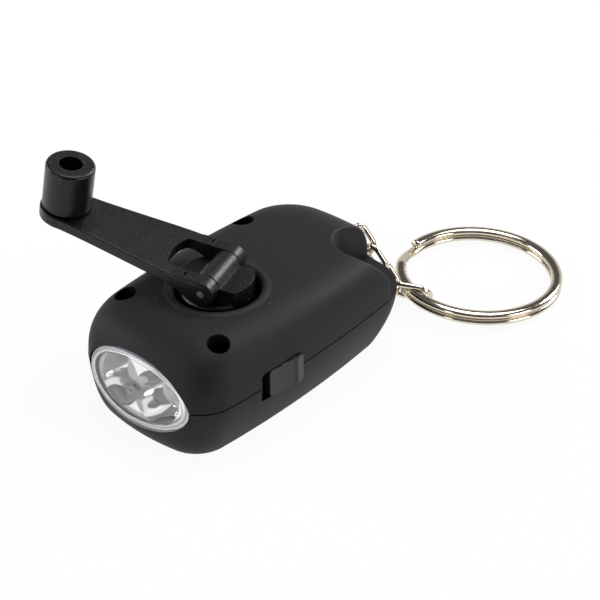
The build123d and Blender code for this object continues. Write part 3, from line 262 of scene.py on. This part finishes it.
# painted light and painted shade: two turns of pale and grey across the wall, 1.1 mm wide
full = add(tree, "ShaderNodeMath", {"operation": "MULTIPLY_ADD"}, _0=ripple.outputs[0], _1=5.0, _2=-4.7)
painted_light_ramp = add(tree, "ShaderNodeValToRGB", Fac=full.outputs[0])
painted_light_stops = painted_light_ramp.color_ramp
painted_light_stops.elements[0].position = 0.20
painted_light_stops.elements[0].color = hex_colour("6c6f74")
painted_light_stops.elements[1].position = 0.95
painted_light_stops.elements[1].color = hex_colour("8c8f94")
painted_light_and_shade_stops = ((0.32, "ffffff"), (0.48, "f2f4f6"), (0.58, "a4a7ab"), (0.72, "ffffff"), (0.85, "e8eaee"))
for at, shade in painted_light_and_shade_stops:
    painted_light_stops.elements.new(at).color = hex_colour(shade)
# painted light: an opaque white and grey skin over the rim stands in for the light in the wall and its
# reflections
painted_light_rim = add(tree, "ShaderNodeBsdfPrincipled", Base_Color=painted_light_ramp.outputs["Color"], Roughness=0.08, IOR=1.49)
skin = add(tree, "ShaderNodeMixShader", _0=rim.outputs[0], _1=clear.outputs[0], _2=painted_light_rim.outputs[0])
tree.links.new(skin.outputs[0], output.inputs["Surface"])
dress(acrylic, "lens")

# ---- the reflector ----
# Moulded plastic with a bright vacuum coat of aluminium: two bowls side by side.
# The coat is slightly hazy, so it spreads the light of the room over the bowls.
bright_coat, tree, output = new_material("vacuum_metal_coat")
place = add(tree, "ShaderNodeTexCoord")
ripple = add(tree, "ShaderNodeTexNoise", Vector=place.outputs["Object"], Scale=900.0, Detail=2.0)
gloss = add(tree, "ShaderNodeMapRange", Value=ripple.outputs["Fac"], To_Min=0.07, To_Max=0.14)
bump = add(tree, "ShaderNodeBump", Height=ripple.outputs["Fac"], Strength=0.15, Distance=0.0001)
skin = add(tree, "ShaderNodeBsdfPrincipled", Base_Color=hex_colour("ffffff"), Metallic=0.85,
           Roughness=gloss.outputs[0], Normal=bump.outputs[0])
tree.links.new(skin.outputs[0], output.inputs["Surface"])
dress(bright_coat, "reflector")

# ---- the two LEDs ----
# Five millimetre lamps cast in water clear epoxy, on a small board behind the bowls.
epoxy, tree, output = new_material("clear_epoxy")
place = add(tree, "ShaderNodeTexCoord")
cloud = add(tree, "ShaderNodeTexNoise", Vector=place.outputs["Object"], Scale=700.0, Detail=2.0)
gloss = add(tree, "ShaderNodeMapRange", Value=cloud.outputs["Fac"], To_Min=0.03, To_Max=0.10)
skin = add(tree, "ShaderNodeBsdfPrincipled", Base_Color=hex_colour("ffffff"), Roughness=gloss.outputs[0],
           IOR=1.53, Transmission_Weight=0.25)
tree.links.new(skin.outputs[0], output.inputs["Surface"])
dress(epoxy, "led_left", "led_right")

# ---- the case screws ----
# Three small pan head screws in deep holes, with a copper coloured finish.
copper_plate, tree, output = new_material("copper_plated_steel")
place = add(tree, "ShaderNodeTexCoord")
stain = add(tree, "ShaderNodeTexNoise", Vector=place.outputs["Object"], Scale=900.0, Detail=4.0)
tint = add(tree, "ShaderNodeMix", {"data_type": "RGBA"}, Factor=stain.outputs["Fac"],
           _6=hex_colour("8a5a3c"), _7=hex_colour("b57a52"))
skin = add(tree, "ShaderNodeBsdfPrincipled", Base_Color=tint.outputs[2], Metallic=1.0, Roughness=0.35)
tree.links.new(skin.outputs[0], output.inputs["Surface"])
dress(copper_plate, "case_screws")

# ---- the crank: hub, folding arm and knob ----
# Injection moulded plastic, black and half gloss, harder and shinier than the case.
# The hub turns in the well, the forked arm folds on a steel pin, the knob turns on a post.
gloss_black, tree, output = new_material("half_gloss_black_plastic")
place = add(tree, "ShaderNodeTexCoord")
# mould flow: faint stretched waves about 3 mm long
waves = add(tree, "ShaderNodeTexNoise", Vector=place.outputs["Object"], Scale=330.0, Detail=5.0,
            Roughness=0.6)
# the crushed look of the mould: real pits of 0.1 mm, drawn at 0.25 mm
fine = add(tree, "ShaderNodeTexNoise", Vector=place.outputs["Object"], Scale=4600.0, Detail=3.0,
           Roughness=0.7)
gloss = add(tree, "ShaderNodeMapRange", Value=waves.outputs["Fac"], To_Min=0.22, To_Max=0.34)
tint = add(tree, "ShaderNodeMix", {"data_type": "RGBA"}, Factor=waves.outputs["Fac"],
           _6=hex_colour("060607"), _7=hex_colour("0c0c0e"))
# rubbed places and dust: pale specks of about 0.15 mm in drifts
dust = add(tree, "ShaderNodeTexVoronoi", Vector=place.outputs["Object"], Scale=1300.0, Randomness=1.0)
speck = add(tree, "ShaderNodeMapRange", Value=dust.outputs["Distance"], From_Min=0.10, From_Max=0.20,
            To_Min=1.0, To_Max=0.0)
drift = add(tree, "ShaderNodeTexNoise", Vector=place.outputs["Object"], Scale=420.0, Detail=3.0)
few = add(tree, "ShaderNodeMapRange", Value=drift.outputs["Fac"], From_Min=0.58, From_Max=0.70, To_Max=0.7)
lint = add(tree, "ShaderNodeMath", {"operation": "MULTIPLY"}, _0=speck.outputs[0], _1=few.outputs[0])
dusty = add(tree, "ShaderNodeMix", {"data_type": "RGBA"}, Factor=lint.outputs[0], _6=tint.outputs[2],
            _7=hex_colour("6a6a6e"))
# the mould leaves edges with a radius of about 0.15 mm, which catch the light
soft = add(tree, "ShaderNodeBevel", {"samples": 6}, Radius=0.00018)
bump = add(tree, "ShaderNodeBump", Height=fine.outputs["Fac"], Strength=0.8, Distance=0.00005,
           Normal=soft.outputs[0])
skin = add(tree, "ShaderNodeBsdfPrincipled", Base_Color=dusty.outputs[2], Roughness=gloss.outputs[0],
           IOR=1.5, Specular_IOR_Level=0.3, Normal=bump.outputs[0])
tree.links.new(skin.outputs[0], output.inputs["Surface"])
dress(gloss_black, "crank_hub", "crank_arm", "crank_knob")

# ---- the switch ----
# A stepped thumb button of black plastic that slides in a window in the right wall.
slide_black, tree, output = new_material("satin_black_plastic")
place = add(tree, "ShaderNodeTexCoord")
wear = add(tree, "ShaderNodeTexNoise", Vector=place.outputs["Object"], Scale=600.0, Detail=4.0)
gloss = add(tree, "ShaderNodeMapRange", Value=wear.outputs["Fac"], To_Min=0.32, To_Max=0.48)
tint = add(tree, "ShaderNodeMix", {"data_type": "RGBA"}, Factor=wear.outputs["Fac"],
           _6=hex_colour("121214"), _7=hex_colour("1b1b1e"))
skin = add(tree, "ShaderNodeBsdfPrincipled", Base_Color=tint.outputs[2], Roughness=gloss.outputs[0], IOR=1.5)
tree.links.new(skin.outputs[0], output.inputs["Surface"])
dress(slide_black, "switch_slider", "switch_lever")

# ---- the knob screw ----
# A cross head screw with yellow zinc plate, deep in the bore of the knob.
yellow_zinc, tree, output = new_material("yellow_zinc_plate")
place = add(tree, "ShaderNodeTexCoord")
stain = add(tree, "ShaderNodeTexNoise", Vector=place.outputs["Object"], Scale=1200.0, Detail=4.0)
tint = add(tree, "ShaderNodeMix", {"data_type": "RGBA"}, Factor=stain.outputs["Fac"],
           _6=hex_colour("6d5530"), _7=hex_colour("a08450"))
skin = add(tree, "ShaderNodeBsdfPrincipled", Base_Color=tint.outputs[2], Metallic=1.0, Roughness=0.38)
tree.links.new(skin.outputs[0], output.inputs["Surface"])
dress(yellow_zinc, "knob_screw")

# ---- pins, shafts, screws and sprung strip inside ----
# Bright drawn or ground steel, some of it with a thin coat of nickel.
bright_steel, tree, output = new_material("drawn_steel")
place = add(tree, "ShaderNodeTexCoord")
# draw lines about 0.2 mm apart
lines = add(tree, "ShaderNodeTexNoise", Vector=place.outputs["Object"], Scale=5000.0, Detail=2.0)
gloss = add(tree, "ShaderNodeMapRange", Value=lines.outputs["Fac"], To_Min=0.22, To_Max=0.36)
skin = add(tree, "ShaderNodeBsdfPrincipled", Base_Color=hex_colour("b9b8b4"), Metallic=1.0,
           Roughness=gloss.outputs[0])
tree.links.new(skin.outputs[0], output.inputs["Surface"])
dress(bright_steel, "hinge_pin", "hub_screw", "idler_pin_1", "idler_pin_2", "rotor_shaft", "plate_screws",
      "cell_clip", "switch_can", "stator_lower", "stator_upper", "button_cell")

# ---- the gears ----
# Natural acetal gears, milky white, with a waxy soft gloss, and one brass pinion.
acetal, tree, output = new_material("natural_acetal")
place = add(tree, "ShaderNodeTexCoord")
cloud = add(tree, "ShaderNodeTexNoise", Vector=place.outputs["Object"], Scale=500.0, Detail=3.0)
tint = add(tree, "ShaderNodeMix", {"data_type": "RGBA"}, Factor=cloud.outputs["Fac"],
           _6=hex_colour("dcd9cf"), _7=hex_colour("ebe9e1"))
skin = add(tree, "ShaderNodeBsdfPrincipled", Base_Color=tint.outputs[2], Roughness=0.4, IOR=1.48)
tree.links.new(skin.outputs[0], output.inputs["Surface"])
dress(acetal, "drive_gear", "idler_gear_1", "idler_gear_2", "coil_bobbin")

brass, tree, output = new_material("turned_brass")
place = add(tree, "ShaderNodeTexCoord")
stain = add(tree, "ShaderNodeTexNoise", Vector=place.outputs["Object"], Scale=800.0, Detail=3.0)
gloss = add(tree, "ShaderNodeMapRange", Value=stain.outputs["Fac"], To_Min=0.22, To_Max=0.34)
skin = add(tree, "ShaderNodeBsdfPrincipled", Base_Color=hex_colour("c49a4e"), Metallic=1.0,
           Roughness=gloss.outputs[0])
tree.links.new(skin.outputs[0], output.inputs["Surface"])
dress(brass, "rotor_pinion")

# ---- the generator ----
# A dark ferrite ring magnet inside an enamelled copper coil, under a black gear plate.
ferrite, tree, output = new_material("bonded_ferrite")
place = add(tree, "ShaderNodeTexCoord")
speck = add(tree, "ShaderNodeTexNoise", Vector=place.outputs["Object"], Scale=3000.0, Detail=3.0)
tint = add(tree, "ShaderNodeMix", {"data_type": "RGBA"}, Factor=speck.outputs["Fac"],
           _6=hex_colour("26262a"), _7=hex_colour("3a3a3e"))
skin = add(tree, "ShaderNodeBsdfPrincipled", Base_Color=tint.outputs[2], Roughness=0.5, IOR=1.6)
tree.links.new(skin.outputs[0], output.inputs["Surface"])
dress(ferrite, "rotor_magnet")

enamel, tree, output = new_material("enamelled_copper")
place = add(tree, "ShaderNodeTexCoord")
# turns of the winding, 0.12 mm wire drawn at 0.25 mm
turns = add(tree, "ShaderNodeTexWave", {"bands_direction": "Z"}, Vector=place.outputs["Object"], Scale=1200.0)
bump = add(tree, "ShaderNodeBump", Height=turns.outputs["Fac"], Strength=0.4, Distance=0.00005)
skin = add(tree, "ShaderNodeBsdfPrincipled", Base_Color=hex_colour("a5572c"), Metallic=1.0, Roughness=0.3,
           Normal=bump.outputs[0])
tree.links.new(skin.outputs[0], output.inputs["Surface"])
dress(enamel, "coil_winding")
dress(slide_black, "gear_plate", "rectifier_diodes")

# ---- the circuit boards ----
# Glass epoxy laminate with a green solder mask, slightly glossy.
mask, tree, output = new_material("green_solder_mask")
place = add(tree, "ShaderNodeTexCoord")
weave = add(tree, "ShaderNodeTexNoise", Vector=place.outputs["Object"], Scale=1500.0, Detail=3.0)
tint = add(tree, "ShaderNodeMix", {"data_type": "RGBA"}, Factor=weave.outputs["Fac"],
           _6=hex_colour("14532a"), _7=hex_colour("1d6b36"))
skin = add(tree, "ShaderNodeBsdfPrincipled", Base_Color=tint.outputs[2], Roughness=0.3, IOR=1.55)
tree.links.new(skin.outputs[0], output.inputs["Surface"])
dress(mask, "main_board", "led_board")

# ---- the eyelet and the chain ----
# Steel wire with a warm bright nickel plate, tumbled after forming.
# The links stay as the solids have them and only take the plate.
nickel, tree, output = new_material("bright_nickel_plate")
place = add(tree, "ShaderNodeTexCoord")
# tumbling marks: soft dents about 3 mm long, and a haze of finer ones
dents = add(tree, "ShaderNodeTexNoise", Vector=place.outputs["Object"], Scale=300.0, Detail=2.0)
haze = add(tree, "ShaderNodeTexNoise", Vector=place.outputs["Object"], Scale=900.0, Detail=3.0)
gloss = add(tree, "ShaderNodeMapRange", Value=haze.outputs["Fac"], To_Min=0.07, To_Max=0.15)
tint = add(tree, "ShaderNodeMix", {"data_type": "RGBA"}, Factor=dents.outputs["Fac"],
           _6=hex_colour("d2c6b2"), _7=hex_colour("e0d9cc"))
bump = add(tree, "ShaderNodeBump", Height=dents.outputs["Fac"], Strength=0.10, Distance=0.0002)
skin = add(tree, "ShaderNodeBsdfPrincipled", Base_Color=tint.outputs[2], Metallic=1.0,
           Roughness=gloss.outputs[0], Normal=bump.outputs[0])
tree.links.new(skin.outputs[0], output.inputs["Surface"])
dress(nickel, "rear_eyelet", "chain_link_1", "chain_link_2", "chain_link_3", "end_link", "split_ring")

# ---- the split ring ----
# Spring wire with rounded faces, wound twice and pressed flat, so that the two turns lie
# on each other. One short ramp joins them, and both ends are cut square and tumbled.
WIRE_HALF_WIDTH = 0.00102
WIRE_HALF_HEIGHT = 0.00063
TURN_PITCH = 0.00128
RING_MIDDLE_RADIUS = 0.01413
FIRST_END = 222          # direction of the lower wire end, in degrees
RING_LEAN = 2.474        # degrees: its near edge is 1.25 mm up in the end link
LEAN_AXIS = (-0.9219, 0.3875, 0)
RING_PLACE = (0.0137, 0.0532, 0.00189)
ring = bmesh.new()
made = bmesh.ops.create_circle(ring, cap_ends=False, radius=1.0, segments=20)
wire = made["verts"]
bmesh.ops.scale(ring, verts=wire, vec=(WIRE_HALF_WIDTH, WIRE_HALF_HEIGHT, 1.0))
bmesh.ops.rotate(ring, verts=wire, cent=(0, 0, 0), matrix=Matrix.Rotation(radians(90), 3, "X"))
bmesh.ops.translate(ring, verts=wire, vec=(RING_MIDDLE_RADIUS, 0, -TURN_PITCH / 2))
bmesh.ops.rotate(ring, verts=wire, cent=(0, 0, 0), matrix=Matrix.Rotation(radians(FIRST_END), 3, "Z"))
seam = wire + ring.edges[:]
for angle, climb in ((326, 0.0), (26, TURN_PITCH), (330, 0.0)):
    steps = angle // 2
    made = bmesh.ops.spin(ring, geom=seam, cent=(0, 0, 0), axis=(0, 0, 1), angle=radians(angle), steps=steps,
                          dvec=(0, 0, climb / steps))
    seam = made["geom_last"]
bmesh.ops.remove_doubles(ring, verts=ring.verts, dist=0.000001)
bmesh.ops.holes_fill(ring, edges=[e for e in ring.edges if e.is_boundary], sides=0)
# the ring lies with its far edge on the table
lean = Matrix.Rotation(radians(RING_LEAN), 4, Vector(LEAN_AXIS))
bmesh.ops.transform(ring, verts=ring.verts, matrix=Matrix.Translation(RING_PLACE) @ lean)
ring_piece = finish_mesh("split_ring_wire", ring, nickel, "ring")
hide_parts("split_ring")
